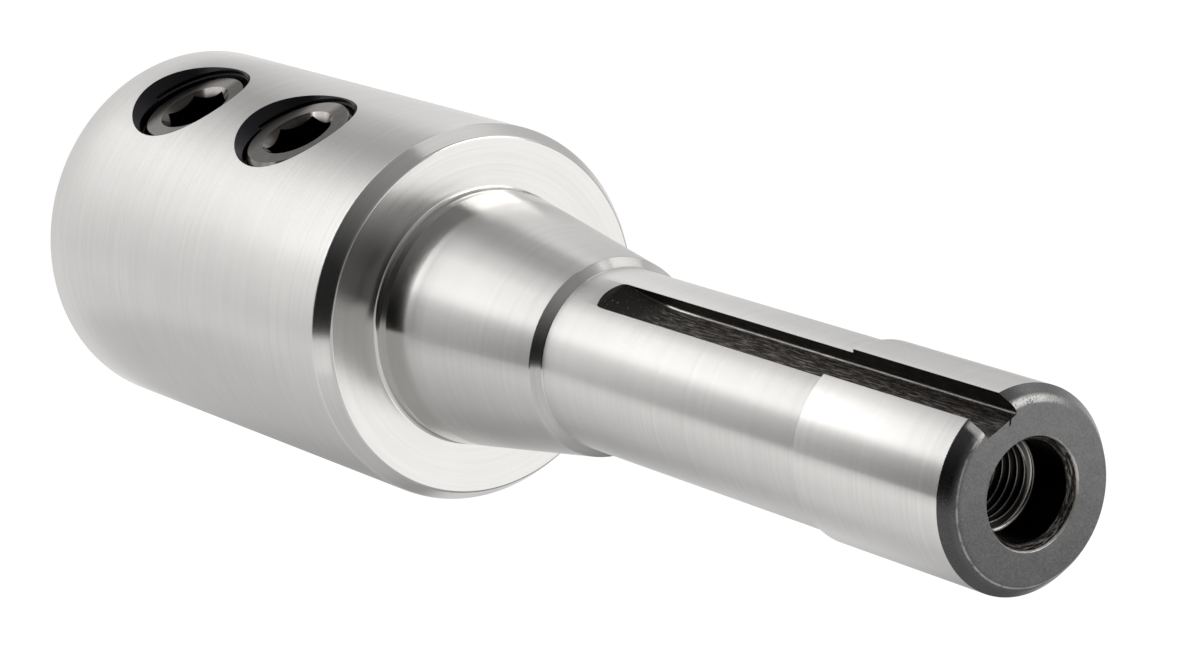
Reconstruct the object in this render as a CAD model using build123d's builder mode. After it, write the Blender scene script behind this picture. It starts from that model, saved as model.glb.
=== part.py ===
from build123d import *
from math import cos, radians, sin, sqrt, tan
import os

# Side-lock end mill holder with a tapered spindle shank and two clamping set screws.
# All lengths are millimetres. The holder stands on its nose: the origin is the centre
# of the nose face, and +Z runs up the axis to the drawbar end of the shank.

# Parallel shank, ground on its upper stretch and turned smaller below it
shank_radius = 12.05
shank_land_length = 27.3
relief_radius = 11.45
relief_step = 0.4
shank_chamfer_radial = 1.45
shank_chamfer_axial = 1.9
shank_corner_radius = 1.0

# Taper, given by its gauge line, where its diameter is 31.75
shank_length = 101.6
gauge_radius = 15.875
taper_half_angle = 8.425
taper_small_radius = 12.57
taper_step = 1.1
taper_past_gauge = 4.0
root_land_length = 2.2
root_fillet = 0.5

# Body below the taper
body_radius = 24.55
body_length = 71.9
flange_chamfer_radial = 1.4
flange_chamfer_axial = 2.25
nose_chamfer = 1.0

# Bore for the tool, blind, with the cone of the drill at its end
tool_bore_radius = 12.7
tool_bore_depth = 62.0
tool_bore_chamfer = 1.0
drill_point_angle = 118.0

# Drawbar hole: a 60 degree grinding centre, a clear bore, then the thread's tapping size
centre_radius = 6.45
centre_angle = 60.0
clear_bore_radius = 5.83
clear_bore_depth = 6.6
thread_minor_radius = 4.95
thread_depth = 38.0
hole_edge_break = 0.25

# Keyway, milled along the shank by a disc cutter that leaves a ramp where it lifts out
keyway_width = 4.8
keyway_floor_height = 9.4
keyway_length = 72.2
keyway_cutter_radius = 40.0
keyway_angle = -90.0

# Threaded holes of the two set screws, drilled a little round from the keyway
screw_angle = -92.3
screw_heights = {"nose_set_screw": 16.2, "upper_set_screw": 43.4}
countersink_radius = 9.7
countersink_angle = 90.0
screw_clearance = 0.06

# Set screws with a flat point, each backed off clear of the tool bore
screw_recess = {"nose_set_screw": 2.2, "upper_set_screw": 1.5}
screw_radius = 7.94
screw_length = 9.5
screw_top_chamfer = 0.85
screw_point_radius = 6.3
hex_across_flats = 8.0
hex_depth = 5.0
hex_mouth_chamfer = 0.35
hex_turn = {"nose_set_screw": 30.0, "upper_set_screw": 0.0}

# Heights worked out from the lengths above
taper_slope = tan(radians(taper_half_angle))
face_z = body_length
taper_large_z = face_z + root_land_length
gauge_z = taper_large_z + taper_past_gauge
end_z = gauge_z + shank_length
taper_large_radius = gauge_radius + taper_past_gauge * taper_slope
taper_small_z = gauge_z + (gauge_radius - taper_small_radius) / taper_slope
land_z = end_z - shank_land_length
screw_hole_radius = screw_radius + screw_clearance


def point_cone_height(radius, angle):
    """Height of a cone of this radius whose sides open by the whole angle."""
    return radius / tan(radians(angle / 2))


def outward(angle):
    """Level unit vector that points away from the axis at this angle."""
    return Vector(cos(radians(angle)), sin(radians(angle)), 0)


# The holder is one bar of steel: its outside is turned in one profile, nose to shank end
with BuildPart() as holder:
    with BuildSketch(Plane.XZ):
        with BuildLine():
            Polyline(
                (0, 0),
                (body_radius - nose_chamfer, 0),
                (body_radius, nose_chamfer),
                (body_radius, face_z - flange_chamfer_axial),
                (body_radius - flange_chamfer_radial, face_z),
                (taper_large_radius, face_z),
                (taper_large_radius, taper_large_z),
                (taper_small_radius, taper_small_z),
                (relief_radius, taper_small_z + taper_step),
                (relief_radius, land_z - relief_step),
                (shank_radius, land_z),
                (shank_radius, end_z - shank_chamfer_axial),
                (shank_radius - shank_chamfer_radial, end_z),
                (0, end_z),
                close=True,
            )
        make_face()
    revolve(axis=Axis.Z)

    # Fillet at the taper's root, and the rounded corner of the shank's end
    root_edge = (
        holder.edges().filter_by(GeomType.CIRCLE)
        .filter_by_position(Axis.Z, face_z - 0.01, face_z + 0.01).sort_by(SortBy.RADIUS)[0]
    )
    fillet(root_edge, radius=root_fillet)
    end_edge = holder.edges().filter_by(GeomType.CIRCLE).sort_by(Axis.Z)[-1]
    fillet(end_edge, radius=shank_corner_radius)

    # Tool bore, opened from the nose
    tool_cone_height = point_cone_height(tool_bore_radius, drill_point_angle)
    with BuildSketch(Plane.XZ):
        with BuildLine():
            Polyline(
                (0, 0),
                (tool_bore_radius + tool_bore_chamfer, 0),
                (tool_bore_radius, tool_bore_chamfer),
                (tool_bore_radius, tool_bore_depth),
                (0, tool_bore_depth + tool_cone_height),
                close=True,
            )
        make_face()
    revolve(axis=Axis.Z, mode=Mode.SUBTRACT)

    # Drawbar hole, opened from the shank's end
    centre_slope = tan(radians(centre_angle / 2))
    centre_depth = (centre_radius - clear_bore_radius) / centre_slope
    step_height = (clear_bore_radius - thread_minor_radius) / tan(radians(drill_point_angle / 2))
    tap_cone_height = point_cone_height(thread_minor_radius, drill_point_angle)
    with BuildSketch(Plane.XZ):
        with BuildLine():
            Polyline(
                (0, end_z),
                (centre_radius + hole_edge_break, end_z),
                (centre_radius, end_z - hole_edge_break),
                (clear_bore_radius, end_z - hole_edge_break - centre_depth),
                (clear_bore_radius, end_z - clear_bore_depth),
                (thread_minor_radius, end_z - clear_bore_depth - step_height),
                (thread_minor_radius, end_z - thread_depth),
                (0, end_z - thread_depth - tap_cone_height),
                close=True,
            )
        make_face()
    revolve(axis=Axis.Z, mode=Mode.SUBTRACT)

    # Keyway: the path of the cutter's edge seen from the side, cut through to its width
    keyway_out = shank_radius + 1.0
    relief_edge = sqrt(relief_radius**2 - (keyway_width / 2)**2)
    ramp_height = relief_edge - keyway_floor_height
    ramp_run = sqrt(keyway_cutter_radius**2 - (keyway_cutter_radius - ramp_height)**2)
    keyway_end_z = end_z - keyway_length
    ramp_foot_z = keyway_end_z + ramp_run
    out_height = keyway_out - keyway_floor_height
    out_run = sqrt(keyway_cutter_radius**2 - (keyway_cutter_radius - out_height)**2)
    keyway_plane = Plane(origin=(0, 0, 0), x_dir=outward(keyway_angle), z_dir=outward(keyway_angle - 90))
    with BuildSketch(keyway_plane):
        with BuildLine():
            Polyline(
                (keyway_out, ramp_foot_z - out_run),
                (keyway_out, end_z + 1.0),
                (keyway_floor_height, end_z + 1.0),
                (keyway_floor_height, ramp_foot_z),
            )
            RadiusArc(
                (keyway_floor_height, ramp_foot_z),
                (keyway_out, ramp_foot_z - out_run),
                keyway_cutter_radius,
            )
        make_face()
    extrude(amount=keyway_width / 2, both=True, mode=Mode.SUBTRACT)

    # Countersunk set screw holes through one wall of the body into the tool bore
    for height in screw_heights.values():
        crest = outward(screw_angle) * body_radius + Vector(0, 0, height)
        with Locations(Plane(origin=crest, x_dir=(0, 0, 1), z_dir=outward(screw_angle))):
            CounterSinkHole(screw_hole_radius, countersink_radius, depth=body_radius,
                            counter_sink_angle=countersink_angle)


def make_set_screw(name):
    """Hexagon socket set screw with a flat point, in its hole at its recess."""
    depth = body_radius - screw_recess[name]
    top = outward(screw_angle) * depth + Vector(0, 0, screw_heights[name])
    top_plane = Plane(origin=top, x_dir=(0, 0, 1), z_dir=outward(screw_angle))
    hex_radius = hex_across_flats / 2
    hex_corner_radius = hex_radius / cos(radians(30))
    downward = (Align.CENTER, Align.CENTER, Align.MAX)
    with BuildPart(top_plane) as screw:
        Cylinder(screw_radius, screw_length, align=downward)
        rims = screw.edges().filter_by(GeomType.CIRCLE).sort_by(Axis(top, outward(screw_angle)))
        chamfer(rims[-1], length=screw_top_chamfer)
        chamfer(rims[0], length=screw_radius - screw_point_radius)
        # Hexagon socket, with the point of its pilot drill below and a lead-in at its mouth
        with BuildSketch():
            RegularPolygon(hex_corner_radius, 6, rotation=hex_turn[name])
        extrude(amount=-hex_depth, mode=Mode.SUBTRACT)
        with Locations((0, 0, -hex_depth)):
            Cone(0, hex_radius, point_cone_height(hex_radius, drill_point_angle),
                 align=downward, mode=Mode.SUBTRACT)
        CounterSinkHole(hex_radius, hex_corner_radius + hex_mouth_chamfer, depth=hex_depth,
                        counter_sink_angle=countersink_angle)
    screw.part.label = name
    return screw.part


screws = [make_set_screw(name) for name in screw_heights]

os.makedirs("parts", exist_ok=True)
holder.part.label = "holder"
export_step(holder.part, "parts/holder.step")
for screw_part in screws:
    export_step(screw_part, f"parts/{screw_part.label}.step")
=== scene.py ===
from math import cos, pi, radians, sin, sqrt, tan

import bmesh
import bpy
from mathutils import Matrix, Vector


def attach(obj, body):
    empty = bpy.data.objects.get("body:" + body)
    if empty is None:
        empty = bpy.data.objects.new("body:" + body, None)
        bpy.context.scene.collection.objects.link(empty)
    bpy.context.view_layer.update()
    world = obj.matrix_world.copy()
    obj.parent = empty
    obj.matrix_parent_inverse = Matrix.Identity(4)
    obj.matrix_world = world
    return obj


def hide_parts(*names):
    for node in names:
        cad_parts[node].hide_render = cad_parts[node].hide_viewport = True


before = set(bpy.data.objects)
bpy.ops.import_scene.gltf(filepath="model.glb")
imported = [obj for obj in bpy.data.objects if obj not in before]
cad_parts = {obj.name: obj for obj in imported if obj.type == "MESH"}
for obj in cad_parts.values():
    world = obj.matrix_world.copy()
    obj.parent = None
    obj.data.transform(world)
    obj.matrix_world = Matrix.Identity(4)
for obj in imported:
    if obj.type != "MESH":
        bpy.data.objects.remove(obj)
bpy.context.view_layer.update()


# Camera. It looks down along the shank from beyond the drawbar end, rolled so that the
# holder lies across the picture with its nose at the upper left.
camera_place = Vector((0.211603, -0.263045, 0.542693))
camera_aim = Vector((-0.00158, -0.00129, 0.09644))
camera_up = Vector((-0.58465, -0.79011, -0.18415))
camera_lens = 135.707
camera_sensor = 36.0

camera_data = bpy.data.cameras.new("camera")
camera_data.lens = camera_lens
camera_data.sensor_width = camera_sensor
camera_data.sensor_fit = "HORIZONTAL"
camera_data.clip_start = 0.01
camera_data.clip_end = 50.0
camera = bpy.data.objects.new("camera", camera_data)
bpy.context.collection.objects.link(camera)
camera_look = (camera_aim - camera_place).normalized()
camera_right = camera_look.cross(camera_up).normalized()
camera_turn = Matrix((camera_right, camera_right.cross(camera_look), -camera_look)).transposed()
camera.matrix_world = Matrix.Translation(camera_place) @ camera_turn.to_4x4()
bpy.context.scene.camera = camera


# Holder, outside. One bar of steel turned to its outline, hardened, and then ground bright
# on the shank, the taper and the body. The end and its chamfer keep the dark scale of the
# furnace. Each corner has its own small rounding.
mm = 0.001
body_radius = 24.55
body_length = 71.9
nose_chamfer = 1.0
flange_chamfer_radial = 1.4
flange_chamfer_axial = 2.25
root_radius = 16.467
root_height = 74.1
taper_end_radius = 12.57
taper_end_height = 100.414
taper_step = 1.1
relief_radius = 11.45
relief_step = 0.4
land_radius = 12.05
land_height = 152.4
end_height = 179.7
end_chamfer_radial = 1.45
end_chamfer_axial = 1.9
turned_sides = 288
smallest_radius = 1e-6

# Finishes, by the number of their material slot on the holder
GROUND, LAND, TAPER, TURNED, BRIGHT, SCALE, SLOT, BORE, BARE = range(9)

# Radius, height, rounding of the corner, and the finish of the stretch that follows it
outside_corners = [
    (0, 0, 0, TURNED),
    (body_radius - nose_chamfer, 0, 0.15, TURNED),
    (body_radius, nose_chamfer, 0.2, GROUND),
    (body_radius, body_length - flange_chamfer_axial, 0.8, BRIGHT),
    (body_radius - flange_chamfer_radial, body_length, 0.45, TURNED),
    (root_radius, body_length, 0.5, BRIGHT),
    (root_radius, root_height, 0.25, TAPER),
    (taper_end_radius, taper_end_height, 0.3, TAPER),
    (relief_radius, taper_end_height + taper_step, 0.4, GROUND),
    (relief_radius, land_height - relief_step, 0.1, GROUND),
    (land_radius, land_height, 0.1, LAND),
    (land_radius, end_height - end_chamfer_axial, 0.15, SCALE),
    (land_radius - end_chamfer_radial, end_height, 1.0, SCALE),
    (0, end_height, 0, SCALE),
]


def rounded(corners, steps=5):
    """Outline of (radius, height, finish), with each corner drawn as an arc of its rounding."""
    outline = []
    for i, (x, z, rounding, finish) in enumerate(corners):
        if not rounding:
            outline.append((x, z, finish))
            continue
        here = Vector((x, z))
        before = (Vector(corners[i - 1][:2]) - here).normalized()
        after = (Vector(corners[i + 1][:2]) - here).normalized()
        half = before.angle(after) / 2
        start = here + before * (rounding / tan(half))
        centre = here + (before + after).normalized() * (rounding / sin(half))
        sweep = pi - 2 * half
        turn = sweep if before.cross(after) < 0 else -sweep
        finish_before = corners[i - 1][3]
        # A point just past each end of the arc keeps the flats beside it evenly shaded
        beside = 0.12 * rounding + 0.01
        outline.append((*(start + before * beside), finish_before))
        for step in range(steps + 1):
            spoke = Matrix.Rotation(turn * step / steps, 2) @ (start - centre)
            outline.append((*(centre + spoke), finish if step >= steps / 2 else finish_before))
        outline.append((*(centre + spoke + after * beside), finish))
    return outline


def lathe(name, outline, sides):
    """Closed mesh turned about +Z from an outline of (radius, height, finish) in millimetres."""
    shape = bmesh.new()
    rings = []
    for radius, height, _ in outline:
        if radius < smallest_radius:
            rings.append([shape.verts.new((0, 0, height * mm))] * sides)
        else:
            rings.append([
                shape.verts.new((radius * mm * cos(2 * pi * k / sides),
                                 radius * mm * sin(2 * pi * k / sides), height * mm))
                for k in range(sides)
            ])
    for low, high, (_, _, finish) in zip(rings, rings[1:], outline):
        for k in range(sides):
            corners = (low[k], low[(k + 1) % sides], high[(k + 1) % sides], high[k])
            face = shape.faces.new(dict.fromkeys(corners))
            face.material_index = finish
    return finished_object(name, shape)


def finished_object(name, shape):
    """Object made from a bmesh with its faces turned outward."""
    bmesh.ops.recalc_face_normals(shape, faces=shape.faces)
    mesh = bpy.data.meshes.new(name)
    shape.to_mesh(mesh)
    shape.free()
    made = bpy.data.objects.new(name, mesh)
    bpy.context.collection.objects.link(made)
    return made


def cut_away(piece, cutters):
    """Cuts the cutters out of the piece, each cut face with the finish of its cutter."""
    for cutter in cutters:
        cut = piece.modifiers.new("cut", "BOOLEAN")
        cut.operation = "DIFFERENCE"
        cut.solver = "EXACT"
        cut.object = cutter
    solved = piece.evaluated_get(bpy.context.evaluated_depsgraph_get())
    mesh = bpy.data.meshes.new_from_object(solved)
    piece.modifiers.clear()
    piece.data = mesh
    for cutter in cutters:
        bpy.data.objects.remove(cutter)


def smooth(piece, crease=28):
    """Shades the piece smooth, with an edge wherever it turns by more than the crease."""
    piece.data.polygons.foreach_set("use_smooth", [True] * len(piece.data.polygons))
    piece.data.set_sharp_from_angle(angle=radians(crease))


holder_piece = lathe("holder_bar", rounded(outside_corners), turned_sides)


# Holder, inside. The blind tool bore, reamed from the nose, and the drawbar hole at the
# other end: a 60 degree grinding centre, a clear bore, a step and the thread.
tool_bore_radius = 12.7
tool_bore_depth = 62.0
tool_bore_tip = 69.631
tool_bore_chamfer = 1.0
tool_bore_sides = 144
mouth_radius = 6.5
mouth_depth = 0.12
centre_radius = 6.45
edge_break = 0.25
centre_foot = 1.324
clear_bore_radius = 5.83
clear_bore_depth = 6.6
step_foot = 7.129
tapping_radius = 4.95
tapping_depth = 38.0
drawbar_tip = 40.974
drawbar_sides = 96
drawbar_pitch = 1.27
drawbar_groove_depth = 0.74
drawbar_thread_foot = 36.5
drawbar_thread_head = 6.4
thread_flank = radians(30)

# How far a cutter starts outside the surface, and further where it cuts a chamfer too
overrun = 1.0
chamfer_overrun = 2.0

tool_bore_outline = [
    (0, -chamfer_overrun, BARE),
    (tool_bore_radius + tool_bore_chamfer + chamfer_overrun, -chamfer_overrun, BARE),
    (tool_bore_radius, tool_bore_chamfer, BARE),
    (tool_bore_radius, tool_bore_depth, BARE),
    (0, tool_bore_tip, BARE),
]
drawbar_outline = [
    (0, end_height + overrun, BORE),
    (mouth_radius + mouth_depth + overrun, end_height + overrun, BORE),
    (mouth_radius, end_height - mouth_depth, BORE),
    (centre_radius, end_height - edge_break, BORE),
    (clear_bore_radius, end_height - centre_foot, BORE),
    (clear_bore_radius, end_height - clear_bore_depth, BORE),
    (tapping_radius, end_height - step_foot, BORE),
    (tapping_radius, end_height - tapping_depth, BORE),
    (0, end_height - drawbar_tip, BORE),
]


def thread_groove(name, radius, depth, pitch, bottom, top, finish, inset=0.1, sides=48):
    """Helical V groove with its mouth at a wall of this radius, from bottom to top along +Z. The
    flat at its root is two ninths of the pitch. It starts inside the wall by the inset."""
    shape = bmesh.new()
    rings = []
    count = int((top - bottom) / pitch * sides)
    root_half = pitch / 9
    mouth_half = root_half + (depth + inset) * tan(thread_flank)
    near, far = (radius - inset) * mm, (radius + depth) * mm
    for step in range(count + 1):
        angle = 2 * pi * step / sides
        height = (bottom + pitch * step / sides) * mm
        side = Vector((cos(angle), sin(angle), 0))
        rings.append([
            shape.verts.new(side * reach + Vector((0, 0, height + lift * mm)))
            for reach, lift in ((near, -mouth_half), (far, -root_half),
                                (far, root_half), (near, mouth_half))
        ])
    for low, high in zip(rings, rings[1:]):
        for k in range(4):
            shape.faces.new((low[k], low[(k + 1) % 4], high[(k + 1) % 4], high[k]))
    shape.faces.new(rings[0])
    shape.faces.new(rings[-1])
    for face in shape.faces:
        face.material_index = finish
    return finished_object(name, shape)


bore_cutters = [
    lathe("tool_bore_cutter", tool_bore_outline, tool_bore_sides),
    lathe("drawbar_cutter", drawbar_outline, drawbar_sides),
    thread_groove("drawbar_thread_cutter", tapping_radius, drawbar_groove_depth, drawbar_pitch,
                  end_height - drawbar_thread_foot, end_height - drawbar_thread_head, BORE),
]


# Keyway, milled before hardening by a disc cutter with slightly rounded corners. Its floor
# runs level from the end and then rises along the arc of the cutter.
keyway_width = 4.8
keyway_floor = 9.4
keyway_length = 72.2
keyway_cutter_radius = 40.0
keyway_corner = 0.28
keyway_top = 13.5
keyway_top_clearance = 0.6
keyway_ramp_steps = 24
keyway_corner_steps = 4


def keyway_run(rise):
    """Distance over which the disc cutter rises by this much."""
    return sqrt(keyway_cutter_radius**2 - (keyway_cutter_radius - rise)**2)


keyway_edge = sqrt(relief_radius**2 - (keyway_width / 2)**2)
keyway_foot = end_height - keyway_length + keyway_run(keyway_edge - keyway_floor)


def keyway_cutter():
    """Body of the cut, made of cross sections along the path of the disc cutter."""
    full_run = keyway_run(keyway_top - keyway_top_clearance - keyway_floor)
    path = [(end_height + overrun, keyway_floor), (keyway_foot, keyway_floor)]
    for step in range(1, keyway_ramp_steps + 1):
        run = full_run * step / keyway_ramp_steps
        path.append((keyway_foot - run, keyway_floor + keyway_cutter_radius
                     - sqrt(keyway_cutter_radius**2 - run**2)))
    half = keyway_width / 2
    section = [(half, None)]
    for step in range(keyway_corner_steps + 1):
        angle = radians(90 * step / keyway_corner_steps)
        section.append((half - keyway_corner + keyway_corner * cos(angle),
                        keyway_corner - keyway_corner * sin(angle)))
    section += [(-x, rise) for x, rise in reversed(section)]
    shape = bmesh.new()
    rings = []
    for z, floor in path:
        rings.append([
            shape.verts.new((x * mm, -(keyway_top if rise is None else floor + rise) * mm, z * mm))
            for x, rise in section
        ])
    count = len(section)
    for low, high in zip(rings, rings[1:]):
        for k in range(count):
            shape.faces.new((low[k], low[(k + 1) % count], high[(k + 1) % count], high[k]))
    shape.faces.new(rings[0])
    shape.faces.new(rings[-1])
    for face in shape.faces:
        face.material_index = SLOT
    return finished_object("keyway_cutter", shape)


# Cross holes for the set screws, drilled through one wall into the tool bore, tapped, and
# countersunk where they meet the round wall. They lie a little round from the keyway.
screw_angle = radians(-92.3)
screw_heights = {"nose_set_screw": 16.2, "upper_set_screw": 43.4}
screw_hole_radius = 8.0
screw_hole_foot = 5.0
screw_hole_sides = 128
countersink_radius = 9.7
screw_pitch = 1.411
screw_groove_depth = 0.42
screw_groove_foot = 11.0
screw_groove_past = 0.2
countersink_foot = body_radius - (countersink_radius - screw_hole_radius)
screw_hole_outline = [
    (0, screw_hole_foot, SCALE),
    (screw_hole_radius, screw_hole_foot, SCALE),
    (screw_hole_radius, countersink_foot, SCALE),
    (countersink_radius + chamfer_overrun, body_radius + chamfer_overrun, SCALE),
    (0, body_radius + chamfer_overrun, SCALE),
]


def along_screw(height, reach=0.0):
    """Placement whose +Z runs out along a set screw's axis, with +X up the holder."""
    outward = Vector((cos(screw_angle), sin(screw_angle), 0))
    upward = Vector((0, 0, 1))
    turn = Matrix((upward, outward.cross(upward), outward)).transposed()
    return Matrix.Translation(outward * reach * mm + Vector((0, 0, height * mm))) @ turn.to_4x4()


hole_cutters = []
for screw_name, screw_height in screw_heights.items():
    for cutter in (
        lathe(screw_name + "_hole", screw_hole_outline, screw_hole_sides),
        thread_groove(screw_name + "_thread", screw_hole_radius, screw_groove_depth, screw_pitch,
                      screw_groove_foot, countersink_foot + screw_groove_past, SCALE),
    ):
        cutter.data.transform(along_screw(screw_height))
        hole_cutters.append(cutter)

cut_away(holder_piece, bore_cutters + [keyway_cutter()] + hole_cutters)
smooth(holder_piece)


# Finishes of the holder. Grinding leaves fine rings round the bar, so the steel scatters
# light along its length and hardly at all around it.
class Shade:
    """A value in a material's nodes. Arithmetic on it adds Math nodes."""

    def __init__(self, finish, socket):
        self.finish = finish
        self.socket = socket

    def __add__(self, other):
        return self.finish.maths("ADD", self, other)

    def __radd__(self, other):
        return self.finish.maths("ADD", other, self)

    def __sub__(self, other):
        return self.finish.maths("SUBTRACT", self, other)

    def __rsub__(self, other):
        return self.finish.maths("SUBTRACT", other, self)

    def __mul__(self, other):
        return self.finish.maths("MULTIPLY", self, other)

    def __rmul__(self, other):
        return self.finish.maths("MULTIPLY", other, self)

    def smoothstep(self, low, high):
        """Smooth rise from 0 at low to 1 at high, or a fall where high is the lower one."""
        return self.finish.node("ShaderNodeMapRange", {"interpolation_type": "SMOOTHSTEP"},
                                {"Value": self, "From Min": low, "From Max": high})

    def near(self, place, full, gone):
        """1 within the distance full of a place, falling to 0 at the distance gone."""
        return 1 - self.finish.maths("ABSOLUTE", self - place).smoothstep(full, gone)


class Finish:
    """The nodes of one material, or of the world, built one by one."""

    def __init__(self, owner):
        self.owner = owner
        owner.use_nodes = True
        self.tree = owner.node_tree
        self.tree.nodes.clear()

    def node(self, kind, settings=None, inputs=None, output=0):
        """Any node, from its type, its settings, and the values or links of its sockets. The
        stops of a ramp are one of its settings."""
        made = self.tree.nodes.new(kind)
        for key, value in (settings or {}).items():
            if key == "stops":
                ramp = made.color_ramp
                while len(ramp.elements) < len(value):
                    ramp.elements.new(0.5)
                for stop, (place, colour) in zip(ramp.elements, value):
                    stop.position = place
                    stop.color = (*colour, 1.0)
            else:
                setattr(made, key, value)
        for key, value in (inputs or {}).items():
            if isinstance(value, Shade):
                self.tree.links.new(value.socket, made.inputs[key])
            else:
                made.inputs[key].default_value = value
        return Shade(self, made.outputs[output]) if made.outputs else None

    def maths(self, operation, *values):
        return self.node("ShaderNodeMath", {"operation": operation}, dict(enumerate(values)))

    def surface(self, shader, output="ShaderNodeOutputMaterial"):
        self.node(output, None, {"Surface": shader})
        return self.owner

    def place(self):
        """X, Y and Z of the point on the piece, in millimetres, with the piece upright."""
        point = self.node("ShaderNodeTexCoord", output="Object")
        split = {"Vector": point}
        return [self.node("ShaderNodeSeparateXYZ", None, split, axis) * (1 / mm) for axis in "XYZ"]

    def noise(self, x, y, z, detail, roughness):
        point = self.node("ShaderNodeCombineXYZ", None, {"X": x, "Y": y, "Z": z})
        return self.node("ShaderNodeTexNoise", {"noise_dimensions": "3D"},
                         {"Vector": point, "Scale": 1.0, "Detail": detail, "Roughness": roughness})

    def mix(self, factor, first, second):
        """Colour between two others. A colour is a tuple of red, green and blue."""
        first, second = ((*c, 1.0) if isinstance(c, tuple) else c for c in (first, second))
        colours = {0: factor, 6: first, 7: second}
        return self.node("ShaderNodeMix", {"data_type": "RGBA"}, colours, output=2)

    def turn(self, x, y):
        """Direction from the axis, which runs from 0 at -180 degrees to 1 at 180 degrees."""
        return self.maths("ARCTAN2", y, x) * (0.5 / pi) + 0.5

    def tones(self, table, turn, peak=1.0):
        """Grey by direction, from a table of (degrees, brightness), as a share of the peak."""
        stops = [((degrees + 180) / 360, (tone / peak,) * 3) for degrees, tone in table]
        return self.node("ShaderNodeValToRGB", {"stops": stops}, {"Fac": turn})

    def bump(self, height, distance):
        return self.node("ShaderNodeBump", None, {"Distance": distance, "Height": height})


ground_dull = (0.6, 0.59, 0.576)
ground_clean = (0.66, 0.65, 0.635)
painted_edge_highlight = (0.85, 0.84, 0.82)
polished_below = root_height + 3.2
dull_above = root_height + 5.0
quarter_turn = 0.25


def ground_steel(name, roughness, spread, level=1.0, root_polish=0.0):
    """Steel with fine rings round the axis, on cylinders and faces alike. A painted highlight line
    runs along the edge of the land, and the root of the taper can be polished."""
    finish = Finish(bpy.data.materials.new(name))
    x, y, z = finish.place()
    along = z - finish.maths("SQRT", x * x + y * y)
    fine = finish.noise(along * 4.0, x * 0.08, y * 0.08, detail=2.0, roughness=0.5)
    lines = finish.noise(along * 1.6, x * 0.03, y * 0.03, detail=3.0, roughness=0.6)
    cloud = finish.noise(z * 0.12, x * 0.15, y * 0.15, detail=2.0, roughness=0.5)
    tone = fine * 0.3 + lines * 0.45 + cloud * 0.25
    dull = tuple(level * value for value in ground_dull)
    clean = tuple(level * value for value in ground_clean)
    colour = finish.mix(tone.smoothstep(0.25, 0.75), dull, clean)
    # Painted highlight: a bright line along the edge of the land
    land_edge_highlight = z.near(land_height + 0.02, 0.03, 0.12)
    colour = finish.mix(land_edge_highlight * 0.4, colour, painted_edge_highlight)
    polish = (1 - z.smoothstep(polished_below, dull_above)) * root_polish
    shader = finish.node("ShaderNodeBsdfPrincipled", None, {
        "Base Color": colour,
        "Metallic": 1.0,
        "Roughness": roughness - 0.015 + fine * 0.03 - polish,
        "Anisotropic": spread,
        "Anisotropic Rotation": quarter_turn,
        "Normal": finish.bump(lines, distance=0.0003 * mm),
    })
    return finish.surface(shader)


end_face_radius = land_radius - end_chamfer_radial
wall_dull, wall_clean = (0.066, 0.066, 0.068), (0.11, 0.11, 0.112)
face_dull, face_clean = (0.1, 0.1, 0.101), (0.22, 0.22, 0.221)
countersink_black = (0.022, 0.022, 0.024)
steel_wear_and_highlight = (0.55, 0.54, 0.52)
painted_lip_highlight = (0.88, 0.87, 0.85)
painted_nick_shade = (0.008, 0.008, 0.008)


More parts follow.
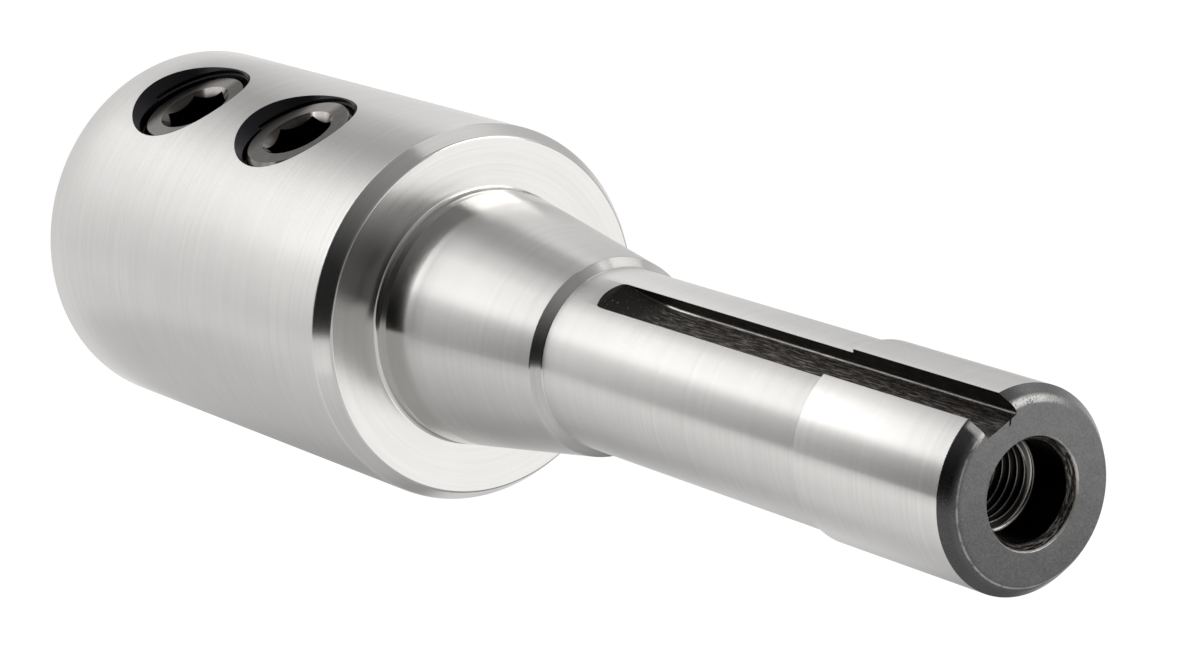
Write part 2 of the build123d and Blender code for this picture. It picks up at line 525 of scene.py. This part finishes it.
def scale_finish():
    """Furnace scale: matt on the end face, where it was faced, and glossier elsewhere. It is
    rubbed through to steel, with a painted highlight, along one side of the corner of the end
    face and beside the mouth of the keyway, and it is painted lighter toward the keyway."""
    finish = Finish(bpy.data.materials.new("furnace_scale"))
    x, y, z = finish.place()
    radius = finish.maths("SQRT", x * x + y * y)
    grain = finish.noise(x * 5.0, y * 5.0, z * 5.0, detail=3.0, roughness=0.7)
    cloud = finish.noise(x * 0.5, y * 0.5, z * 0.5, detail=3.0, roughness=0.55)
    faced = z.smoothstep(end_height - 0.9, end_height - 0.05)
    # Worn steel and a painted highlight: on one side of the end face's corner and beside the keyway's
    # mouth
    corner = radius.near(end_face_radius + 0.02, 0.03, 0.16)
    corner_patch = (cloud * 0.7 + grain * 0.3).smoothstep(0.34, 0.52)
    corner_wear_and_highlight = corner * x.smoothstep(-4.0, 2.0) * corner_patch
    ring_start = radius.smoothstep(end_face_radius - 0.5, end_face_radius - 0.2)
    ring = ring_start * (1 - radius.smoothstep(end_face_radius + 0.2, end_face_radius + 0.6))
    beside_keyway = x.smoothstep(-11.0, -3.5) * (1 - x.smoothstep(2.8, 4.4)) * y.smoothstep(-4.0, -8.0)
    mouth_wear_and_highlight = ring * beside_keyway * (grain * 0.8 + cloud * 0.4).smoothstep(0.46, 0.62)
    dull = finish.mix(faced, wall_dull, face_dull)
    clean = finish.mix(faced, wall_clean, face_clean)
    # Painted light: the scale is made lighter toward the keyway's side of the end
    painted_light_gradient = (x * -0.64 - y * 0.77).smoothstep(-12.0, 12.0)
    tone = grain * 0.65 + cloud * 0.15 + painted_light_gradient * 0.2
    colour = finish.mix(tone.smoothstep(0.25, 0.75), dull, clean)
    countersink = 1 - z.smoothstep(body_length - 6.0, body_length - 1.0)
    colour = finish.mix(countersink, colour, countersink_black)
    wear_and_painted_highlight = finish.maths("MINIMUM", corner_wear_and_highlight * 0.7 + mouth_wear_and_highlight * 1.2, 1.0)
    colour = finish.mix(wear_and_painted_highlight, colour, steel_wear_and_highlight)

    # A painted highlight on one corner of the keyway's mouth, and a painted dark line for the shade of a
    # nick across its floor's edge
    lip_across = x.smoothstep(2.3, 2.5) * x.smoothstep(3.5, 2.9)
    lip_highlight = lip_across * y.smoothstep(-9.9, -10.2) * z.smoothstep(end_height - 1.9, end_height - 1.3)
    colour = finish.mix(lip_highlight * (0.6 + grain * 0.8), colour, painted_lip_highlight)
    # Painted shade: the nick itself is not modelled
    nick_line = (x - (y + keyway_floor) * 0.74).near(-1.3, 0.1, 0.22)
    nick_shade = nick_line * y.smoothstep(-8.7, -8.95) * y.smoothstep(-9.9, -9.6)
    colour = finish.mix(nick_shade, colour, painted_nick_shade)
    shader = finish.node("ShaderNodeBsdfPrincipled", None, {
        "Base Color": colour,
        "Metallic": 1.0,
        "Roughness": 0.24 + faced * 0.3 + grain * 0.06,
        "Normal": finish.bump(grain, distance=0.012 * mm),
    })
    return finish.surface(shader)


brown_scale = (0.014, 0.0125, 0.0115)
brown_streak = (0.24, 0.213, 0.19)
grey_speckle = (0.25, 0.245, 0.24)
painted_corner_highlight = (0.85, 0.83, 0.8)


def slot_finish():
    """The milled keyway: dark brown scale with the cutter's marks along it, and a painted highlight along
    the corners of its floor.
    """
    finish = Finish(bpy.data.materials.new("keyway_scale"))
    x, y, z = finish.place()
    marks = finish.noise(x * 5.0, y * 5.0, z * 0.35, detail=4.0, roughness=0.7)
    grain = finish.noise(x * 5.0, y * 5.0, z * 5.0, detail=3.0, roughness=0.65)
    run = finish.maths("MAXIMUM", keyway_foot - z, 0.0)
    rise = keyway_cutter_radius - finish.maths("SQRT", keyway_cutter_radius**2 - run * run)
    ramp = run.smoothstep(0.0, 7.0)
    wall = (-keyway_floor - y).smoothstep(0.35, 0.6)
    streak = (marks * 0.75 + grain * 0.25).smoothstep(0.46, 0.64) * (1 - ramp) * (1 - wall * 0.7)
    colour = finish.mix(streak, brown_scale, brown_streak)
    speckle = grain.smoothstep(0.64, 0.72) * (0.3 + ramp * 0.7)
    colour = finish.mix(speckle, colour, grey_speckle)
    # Painted highlight: a bright line along the corners between the floor and the walls
    at_floor = (y + rise + keyway_floor).near(-0.12, 0.04, 0.14)
    aside = finish.maths("ABSOLUTE", x).smoothstep(keyway_width / 2 - 0.45, keyway_width / 2 - 0.25)
    corner_highlight_line = at_floor * aside * (1 - run.smoothstep(3.0, 4.5))
    dash = (z - keyway_foot).smoothstep(3.5, -1.0)
    colour = finish.mix(corner_highlight_line * (0.3 + dash * 0.5), colour, painted_corner_highlight)
    shader = finish.node("ShaderNodeBsdfPrincipled", None, {
        "Base Color": colour,
        "Metallic": 1.0,
        "Roughness": 0.3 + grain * 0.12,
        "Normal": finish.bump(marks * 0.6 + grain * 0.4, distance=0.03 * mm),
    })
    return finish.surface(shader)


scale_and_thread_shade = (0.014, 0.013, 0.012)
bright_step = (0.66, 0.63, 0.59)


def bore_finish():
    """The drawbar hole: bright at its rim and its step, with painted highlights on the crests of its
    thread and painted shade on the thread's flanks and roots, and dark with old scale on the cone and the
    clear wall."""
    finish = Finish(bpy.data.materials.new("drawbar_hole"))
    x, y, z = finish.place()
    radius = finish.maths("SQRT", x * x + y * y)
    grain = finish.noise(x * 5.0, y * 5.0, z * 5.0, detail=4.0, roughness=0.65)
    swirl = finish.noise(radius * 9.0, x * 0.6, y * 0.6, detail=4.0, roughness=0.75)
    # Painted highlight on the thread's crests; the flanks keep the dark colour as painted shade
    crest_highlight = (1 - radius.smoothstep(tapping_radius + 0.03, tapping_radius + 0.1)) * (0.2 + grain * 0.4)
    groove_foot = radius.smoothstep(5.6, 5.66) * (1 - radius.smoothstep(5.72, 5.76)) * grain * 0.35
    step_across = radius.smoothstep(tapping_radius + 0.02, tapping_radius + 0.05) * (
        1 - radius.smoothstep(clear_bore_radius - 0.05, clear_bore_radius - 0.02))
    step = step_across * z.smoothstep(end_height - step_foot - 0.071, end_height - step_foot + 0.009)
    inner_line = radius.near(5.08, 0.04, 0.1) * 0.8
    outer_line = radius.near(5.6, 0.03, 0.09) * 0.6
    step_lines = 0.14 + inner_line + outer_line
    cone = radius.smoothstep(clear_bore_radius + 0.01, clear_bore_radius + 0.07)
    cone_streak = cone * (0.03 + swirl.smoothstep(0.48, 0.6) * (0.1 + grain * 0.8))
    rim = radius.smoothstep(centre_radius - 0.05, centre_radius + 0.01) * (
        0.4 + swirl.smoothstep(0.36, 0.58) * 0.9)
    bright_metal_and_highlight = finish.maths("MINIMUM", crest_highlight + groove_foot + step * step_lines + cone_streak + rim, 1.0)
    colour = finish.mix(bright_metal_and_highlight, scale_and_thread_shade, bright_step)
    shader = finish.node("ShaderNodeBsdfPrincipled", None, {
        "Base Color": colour,
        "Metallic": 1.0,
        "Roughness": 0.24 + cone * 0.2 + grain * 0.1,
        "Normal": finish.bump(grain, distance=0.008 * mm),
    })
    return finish.surface(shader)


reamed_dull = (0.4, 0.392, 0.378)
reamed_clean = (0.54, 0.53, 0.515)


def bare_finish():
    """Reamed steel of the tool bore."""
    finish = Finish(bpy.data.materials.new("bare_steel"))
    x, y, z = finish.place()
    rings = finish.noise(x * 0.3, y * 0.3, z * 7.0, detail=3.0, roughness=0.6)
    colour = finish.mix(rings, reamed_dull, reamed_clean)
    shader = finish.node("ShaderNodeBsdfPrincipled", None, {
        "Base Color": colour,
        "Metallic": 1.0,
        "Roughness": 0.26 + rings * 0.1,
        "Normal": finish.bump(rings, distance=0.006 * mm),
    })
    return finish.surface(shader)


# In the order of their numbers
for holder_finish in (
    ground_steel("ring_ground_steel", roughness=0.24, spread=0.97),
    ground_steel("ground_land", roughness=0.18, spread=0.97, level=0.98),
    ground_steel("ground_taper", roughness=0.2, spread=0.97, level=0.8, root_polish=0.105),
    ground_steel("faced_steel", roughness=0.14, spread=0.97),
    ground_steel("polished_corner", roughness=0.18, spread=0.0, level=0.92),
    scale_finish(),
    slot_finish(),
    bore_finish(),
    bare_finish(),
):
    holder_piece.data.materials.append(holder_finish)
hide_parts("holder")
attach(holder_piece, "holder_body")


# Set screws. Each is a short threaded steel plug with a hexagon socket, turned, tapped
# outside, broached and then blackened. Its flat point clamps on the flat of the tool.
screw_crest = 7.94
screw_root = 7.14
screw_length = 9.5
screw_top_radius = 7.09
screw_point_radius = 6.3
screw_recess = {"nose_set_screw": 2.2, "upper_set_screw": 1.5}
thread_crest_half = 1 / 16
thread_root_half = 0.11
hex_flats = 8.0
hex_corner = hex_flats / 2 / cos(radians(30))
hex_depth = 5.0
hex_sides = 6
hex_mouth_radius = 4.97
hex_mouth_sides = 48
hex_turn = {"nose_set_screw": 30.0, "upper_set_screw": 0.0}
screw_body = {"nose_set_screw": "nose_screw", "upper_set_screw": "upper_screw"}
black_oxide = (0.03, 0.0255, 0.023)
brown_wear_and_highlight = (0.47, 0.445, 0.42)
drill_point_half = radians(59)
same_place = 1e-7


def thread_radius(turns):
    """Radius of the thread's profile at this many turns along the screw."""
    part = turns % 1.0
    from_crest = min(part, 1 - part)
    fall = (from_crest - thread_crest_half) / (0.5 - thread_root_half - thread_crest_half)
    return screw_crest - (screw_crest - screw_root) * min(max(fall, 0.0), 1.0)


def screw_blank(name, sides=96, rows_per_turn=16):
    """Threaded plug along +Z with its top at zero. The rows of its mesh follow the helix."""
    shape = bmesh.new()
    turns = screw_length / screw_pitch
    rows = []
    for row in range(-rows_per_turn, int((turns + 1) * rows_per_turn) + 1):
        ring = []
        for side in range(sides + 1):
            along = row / rows_per_turn + side / sides
            depth = min(max(along * screw_pitch, 0.0), screw_length)
            radius = min(thread_radius(row / rows_per_turn), screw_top_radius + depth,
                         screw_point_radius + screw_length - depth)
            angle = 2 * pi * side / sides
            ring.append(shape.verts.new(
                (radius * mm * cos(angle), -radius * mm * sin(angle), -depth * mm)))
        rows.append(ring)
    for low, high in zip(rows, rows[1:]):
        for k in range(sides):
            shape.faces.new((low[k], low[k + 1], high[k + 1], high[k]))
    bmesh.ops.remove_doubles(shape, verts=shape.verts, dist=same_place)
    bmesh.ops.dissolve_degenerate(shape, dist=same_place, edges=shape.edges)
    bmesh.ops.holes_fill(shape, edges=[e for e in shape.edges if e.is_boundary], sides=0)
    return finished_object(name, shape)


def blackened_finish():
    """Black oxide on turned steel, rubbed through to brownish steel on the top, which is painted lighter
    toward one side and carries a painted highlight patch.
    """
    finish = Finish(bpy.data.materials.new("worn_black_oxide"))
    x, y, z = finish.place()
    radius = finish.maths("SQRT", x * x + y * y)
    rings = finish.noise((z - radius) * 8.0, x * 0.4, y * 0.4, detail=3.0, roughness=0.6)
    patch = finish.noise(x * 0.7, y * 0.7, z * 0.7, detail=3.0, roughness=0.6)
    top = z.smoothstep(-1.15, -0.3) * radius.smoothstep(3.6, 4.3)
    # Painted light on the top: lighter toward one side, and a painted highlight patch
    wear_and_side_light = x.smoothstep(-5.8, -2.5) * (0.14 + patch * 0.25)
    painted_highlight_patch = y.smoothstep(2.4, 5.2) * x.near(-1.8, 1.6, 3.6)
    wear_and_painted_highlight = top * (wear_and_side_light + painted_highlight_patch * 0.6)
    colour = finish.mix(wear_and_painted_highlight, black_oxide, brown_wear_and_highlight)
    shader = finish.node("ShaderNodeBsdfPrincipled", None, {
        "Base Color": colour,
        "Metallic": 1.0,
        "Roughness": 0.14 + patch * 0.1,
        "Anisotropic": 0.5,
        "Anisotropic Rotation": quarter_turn,
        "Normal": finish.bump(rings, distance=0.008 * mm),
    })
    return finish.surface(shader)


blackened = blackened_finish()
socket_point = hex_depth + hex_flats / 2 / tan(drill_point_half)
socket_outline = [(0, -socket_point, 0), (hex_corner, -hex_depth, 0), (hex_corner, overrun, 0),
                  (0, overrun, 0)]
lead_foot = hex_flats / 2 - hex_mouth_radius
lead_outline = [(0, lead_foot, 0), (hex_flats / 2, lead_foot, 0),
                (hex_mouth_radius + overrun, overrun, 0), (0, overrun, 0)]
for screw_name, screw_height in screw_heights.items():
    set_screw = screw_blank(screw_name + "_plug")
    socket = lathe("socket", socket_outline, hex_sides)
    socket.data.transform(Matrix.Rotation(radians(hex_turn[screw_name]), 4, "Z"))
    cut_away(set_screw, [socket, lathe("lead", lead_outline, hex_mouth_sides)])
    smooth(set_screw)
    set_screw.data.materials.append(blackened)
    set_screw.matrix_world = along_screw(screw_height, body_radius - screw_recess[screw_name])
    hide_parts(screw_name)
    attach(set_screw, screw_body[screw_name])


# Floor. A plain pale sheet that shows white wherever it is seen or mirrored, and keeps a
# share of plain diffuse white for the holder's shadow.
floor_half = 6.0
floor_share = 0.85
floor_white = (0.9, 0.9, 0.9, 1)
floor_glow = 1.08
floor_shape = bmesh.new()
bmesh.ops.create_grid(floor_shape, x_segments=1, y_segments=1, size=floor_half)
floor = finished_object("floor", floor_shape)
floor_finish = Finish(bpy.data.materials.new("floor"))
seen = [floor_finish.node("ShaderNodeLightPath", output=f"Is {kind} Ray")
        for kind in ("Camera", "Glossy", "Transmission")]
seen_or_mirrored = floor_finish.maths("MINIMUM", seen[0] + seen[1] + seen[2], 1.0)
floor.data.materials.append(floor_finish.surface(floor_finish.node("ShaderNodeMixShader", None, {
    0: seen_or_mirrored * floor_share,
    1: floor_finish.node("ShaderNodeBsdfDiffuse", None, {"Color": floor_white}),
    2: floor_finish.node("ShaderNodeEmission", None, {"Color": (1, 1, 1, 1), "Strength": floor_glow}),
})))


# Studio. An even grey world, paler at the horizon and toward one side. A dark card curves
# round the camera's side and gives the steel its dark edges.
horizon_light = 0.9
upper_light = 0.45
side_light = 0.42
horizon_band = (0.06, 0.16)
side_direction = (0.788, 0.139, 0.6)
side_band = (0.5, 0.95)
middle = Vector((0, 0, 0.1))
studio = Finish(bpy.data.worlds.new("studio"))
sky_place = studio.node("ShaderNodeTexCoord", output="Generated")
sky_height = studio.node("ShaderNodeSeparateXYZ", None, {"Vector": sky_place}, "Z")
glow = 1 - sky_height.smoothstep(*horizon_band)
side_glow = studio.node("ShaderNodeVectorMath", {"operation": "DOT_PRODUCT"},
                        {0: sky_place, 1: side_direction}, "Value").smoothstep(*side_band)
sky_light = upper_light + glow * (horizon_light - upper_light) + side_glow * side_light
sky = studio.node("ShaderNodeBackground", None, {"Color": (1, 1, 1, 1), "Strength": sky_light})
bpy.context.scene.world = studio.surface(sky, "ShaderNodeOutputWorld")


def unseen(piece):
    """Hides a card from the camera, from shadows and from diffuse light, so that only the steel's mirrored
    light shows it.
    """
    piece.visible_camera = False
    piece.visible_shadow = False
    piece.visible_diffuse = False


def curved_card(name, start, stop, foot, top, height, gap=0.0005, step=4):
    """Card that curves round the axis from start to stop, in degrees, with its foot a gap above
    the floor. Foot and top are its distances from the axis."""
    shape = bmesh.new()
    rows = []
    for turn in range(start, stop + 1, step):
        side = Vector((cos(radians(turn)), sin(radians(turn)), 0))
        rows.append([shape.verts.new(side * foot + Vector((0, 0, gap))),
                     shape.verts.new(side * top + Vector((0, 0, height)))])
    for (low, high), (next_low, next_high) in zip(rows, rows[1:]):
        shape.faces.new((low, next_low, next_high, high))
    made = finished_object(name, shape)
    unseen(made)
    return made


# The dark card fades from grey to near black as it turns toward the camera's right, and its
# fade shifts round with height.
card_grey = (0.4, 0.4, 0.4)
card_black = (0.01, 0.01, 0.01)
card_fade_turns = (radians(-114), radians(-48))
upper_shift = radians(40)
lower_shift = radians(20)
dark_card = curved_card("dark_card", start=-118, stop=-18, foot=0.17, top=0.24, height=1.0)
card_finish = Finish(bpy.data.materials.new("dark_card"))
card_x, card_y, card_z = card_finish.place()
card_turn = card_finish.maths("ARCTAN2", card_y, card_x)
card_shift = card_z.smoothstep(230, 330) * upper_shift - card_z.smoothstep(150, 200) * lower_shift
card_fade = (card_turn + card_shift).smoothstep(*card_fade_turns)
dark_card.data.materials.append(card_finish.surface(card_finish.node("ShaderNodeEmission", None, {
    "Color": card_finish.mix(card_fade, card_grey, card_black),
})))

# A low grey card on the far side shades the chamfers of the flange and of the shank's end. Its
# brightness goes by direction.
grey_card_tones = [
    (-180, 0.9), (0, 0.9), (10, 0.85), (22, 0.74), (34, 0.7), (58, 0.66), (72, 0.58), (82, 0.45),
    (92, 0.35), (106, 0.4), (120, 0.9), (180, 0.9),
]
grey_card = curved_card("grey_card", start=0, stop=120, foot=0.302, top=0.302, height=0.15)
grey_finish = Finish(bpy.data.materials.new("grey_card"))
grey_x, grey_y, _ = grey_finish.place()
grey_card.data.materials.append(grey_finish.surface(grey_finish.node("ShaderNodeEmission", None, {
    "Color": grey_finish.tones(grey_card_tones, grey_finish.turn(grey_x, grey_y)),
})))


# Lamps. Three softboxes put their highlights on the round walls, and a fill lamp that the
# steel doesn't mirror lifts the matt surfaces.
def softbox(name, azimuth, elevation, distance, width, height, brightness):
    """Evenly bright rectangle that faces the holder's middle. Azimuth and elevation are in
    degrees. The camera doesn't see it."""
    turn, tilt = radians(azimuth), radians(elevation)
    away = Vector((cos(tilt) * cos(turn), cos(tilt) * sin(turn), sin(tilt)))
    place = middle + away * distance
    light = bpy.data.lights.new(name, "AREA")
    light.shape = "RECTANGLE"
    light.size = width
    light.size_y = height
    light.energy = brightness * width * height * pi
    lamp = bpy.data.objects.new(name, light)
    bpy.context.collection.objects.link(lamp)
    lamp.location = place
    lamp.rotation_euler = (place - middle).to_track_quat("Z", "Y").to_euler()
    lamp.visible_camera = False
    return lamp


softbox("overhead", 135, 50, distance=0.8, width=1.1, height=0.7, brightness=0.9)
softbox("left", -158, 37, distance=0.8, width=0.42, height=0.36, brightness=3.2)
softbox("low left", -162, 10, distance=0.8, width=0.36, height=0.13, brightness=1.5)
fill = softbox("fill", -51, 60, distance=0.9, width=0.8, height=0.8, brightness=0.9)
fill.visible_glossy = False


# Reflector, a ring on the floor round the holder. It puts the bright streak and the soft shades
# along the round walls. Three tables give the brightness of its near, middle and far rings by
# the direction from the axis.
near_tones = [
    (-180, 0.79), (-166, 0.84), (-152, 0.87), (-140, 0.81), (-130, 0.68), (-120, 0.52), (-110, 0.6),
    (-100, 0.85), (-92, 1.05), (-84, 1.28), (-76, 1.42), (-68, 1.41), (-60, 1.29), (-54, 1.23),
    (-48, 1.14), (-42, 1.06), (-36, 1.01), (-30, 0.96), (-22, 0.96), (-14, 0.93), (-6, 0.9),
    (4, 0.75), (16, 0.73), (30, 0.73), (46, 0.67), (64, 0.47), (84, 0.29), (104, 0.84), (124, 0.94),
    (142, 0.99), (160, 1.67), (180, 0.79),
]
middle_tones = [
    (-180, 0.98), (-166, 1.16), (-152, 1.22), (-140, 1.0), (-130, 0.5), (-120, 0.5), (-110, 0.58),
    (-100, 0.85), (-92, 1.21), (-84, 1.51), (-76, 1.51), (-68, 1.54), (-60, 1.69), (-54, 1.71),
    (-48, 1.55), (-42, 1.45), (-36, 1.4), (-30, 1.28), (-22, 1.07), (-14, 0.9), (-6, 0.95),
    (4, 0.88), (16, 0.74), (30, 0.61), (46, 0.49), (64, 0.37), (84, 0.56), (104, 0.82), (124, 0.94),
    (142, 0.99), (160, 0.92), (180, 0.98),
]
far_tones = [
    (-180, 0.73), (-166, 0.77), (-152, 0.81), (-140, 1.22), (-130, 0.65), (-120, 0.8), (-110, 1.03),
    (-100, 1.72), (-92, 2.09), (-84, 2.65), (-76, 2.95), (-68, 3.2), (-60, 3.33), (-54, 2.79),
    (-48, 1.77), (-42, 1.2), (-36, 0.95), (-30, 0.79), (-22, 0.74), (-14, 0.88), (-6, 1.09),
    (4, 1.05), (16, 0.97), (30, 0.9), (46, 0.72), (64, 0.82), (84, 0.98), (104, 0.8), (124, 0.94),
    (142, 0.99), (160, 0.59), (180, 0.73),
]
reflector_peak = 5.0
reflector_inner = 0.028
reflector_outer = 0.3
reflector_height = 0.0004
reflector_sides = 96

# Distances in millimetres over which the rings blend
near_to_middle = (55, 85)
middle_to_far = (100, 130)

# Its outer part is dimmer on the far side, which the chamfer of the flange mirrors. Directions
# run from 0 to 1, as the turn does.
dim_distance = (153, 180)
dim_start = (0.6, 0.74)
dim_end = (0.78, 0.83)
dim_share = 0.72

reflector_shape = bmesh.new()
reflector_turns = [2 * pi * k / reflector_sides for k in range(reflector_sides)]
inner, outer = [
    [reflector_shape.verts.new((reach * cos(turn), reach * sin(turn), reflector_height))
     for turn in reflector_turns]
    for reach in (reflector_inner, reflector_outer)
]
for k in range(reflector_sides):
    following = (k + 1) % reflector_sides
    reflector_shape.faces.new((inner[k], outer[k], outer[following], inner[following]))
reflector = finished_object("reflector", reflector_shape)
reflector_finish = Finish(bpy.data.materials.new("reflector"))
reflector_x, reflector_y, _ = reflector_finish.place()
reflector_turn = reflector_finish.turn(reflector_x, reflector_y)
reflector_reach = reflector_finish.maths("SQRT", reflector_x * reflector_x + reflector_y * reflector_y)
near_tone, middle_tone, far_tone = [reflector_finish.tones(table, reflector_turn, reflector_peak)
                                    for table in (near_tones, middle_tones, far_tones)]
reflector_tone = reflector_finish.mix(reflector_reach.smoothstep(*near_to_middle), near_tone, middle_tone)
reflector_tone = reflector_finish.mix(reflector_reach.smoothstep(*middle_to_far), reflector_tone, far_tone)
far_side = reflector_turn.smoothstep(*dim_start) * (1 - reflector_turn.smoothstep(*dim_end))
outer_dim = reflector_reach.smoothstep(*dim_distance) * far_side * dim_share
reflector_tone = reflector_finish.mix(outer_dim, reflector_tone, (0.0, 0.0, 0.0))
reflector.data.materials.append(reflector_finish.surface(reflector_finish.node(
    "ShaderNodeEmission", None, {"Color": reflector_tone, "Strength": reflector_peak})))
unseen(reflector)


# Picture. Colours are shown as they are.
bpy.context.scene.view_settings.view_transform = "Standard"
